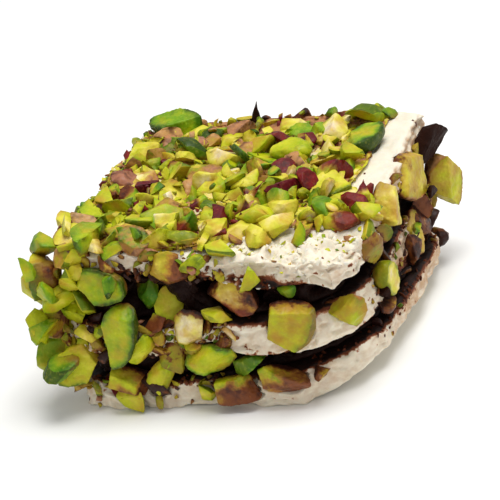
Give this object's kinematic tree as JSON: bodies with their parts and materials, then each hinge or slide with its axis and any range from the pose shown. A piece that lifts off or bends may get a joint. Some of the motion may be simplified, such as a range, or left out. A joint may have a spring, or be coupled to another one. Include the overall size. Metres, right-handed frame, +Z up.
{
  "type": "turkish delight",
  "caption": "Cut block of layered Turkish delight: white whipped nougat sheets with chocolate cream between them, coated in chopped pistachio.",
  "frame": {"origin": "middle of the bounding box, on the table that the block lies on", "axes": "+Z up through the layers; -Y is the front cut side; +X points to the end where the bottom sheet sweeps up and the top sheet is bare"},
  "size_m": [0.0522, 0.0498, 0.0258],
  "materials": {
    "nougat": "soft white whipped nougat, matt, with a faintly creamy tint and chocolate smears near the filling",
    "chocolate_cream": "very dark chocolate cream, moist and softly glossy",
    "pistachio": "chopped pistachio kernel, bright green to yellow with dark red and purple skin"
  },
  "bodies": {
    "root": {"cream_lower": "chocolate_cream", "cream_upper": "chocolate_cream", "nougat_bottom": "nougat", "nougat_middle": "nougat", "nougat_top": "nougat", "pistachio_back_01": "pistachio", "pistachio_back_02": "pistachio", "pistachio_back_03": "pistachio", "pistachio_back_04": "pistachio", "pistachio_crust": "pistachio", "pistachio_front_01": "pistachio", "pistachio_front_02": "pistachio", "pistachio_front_03": "pistachio", "pistachio_front_04": "pistachio", "pistachio_front_05": "pistachio", "pistachio_front_06": "pistachio", "pistachio_front_07": "pistachio", "pistachio_front_08": "pistachio", "pistachio_front_09": "pistachio", "pistachio_front_10": "pistachio", "pistachio_front_11": "pistachio", "pistachio_front_12": "pistachio", "pistachio_front_13": "pistachio", "pistachio_left_01": "pistachio", "pistachio_left_02": "pistachio", "pistachio_left_03": "pistachio", "pistachio_left_04": "pistachio", "pistachio_left_05": "pistachio", "pistachio_right_01": "pistachio", "pistachio_right_02": "pistachio", "pistachio_right_03": "pistachio", "pistachio_right_04": "pistachio", "pistachio_right_05": "pistachio", "pistachio_top_01": "pistachio", "pistachio_top_02": "pistachio", "pistachio_top_03": "pistachio", "pistachio_top_04": "pistachio", "pistachio_top_05": "pistachio"}
  },
  "joints": []
}
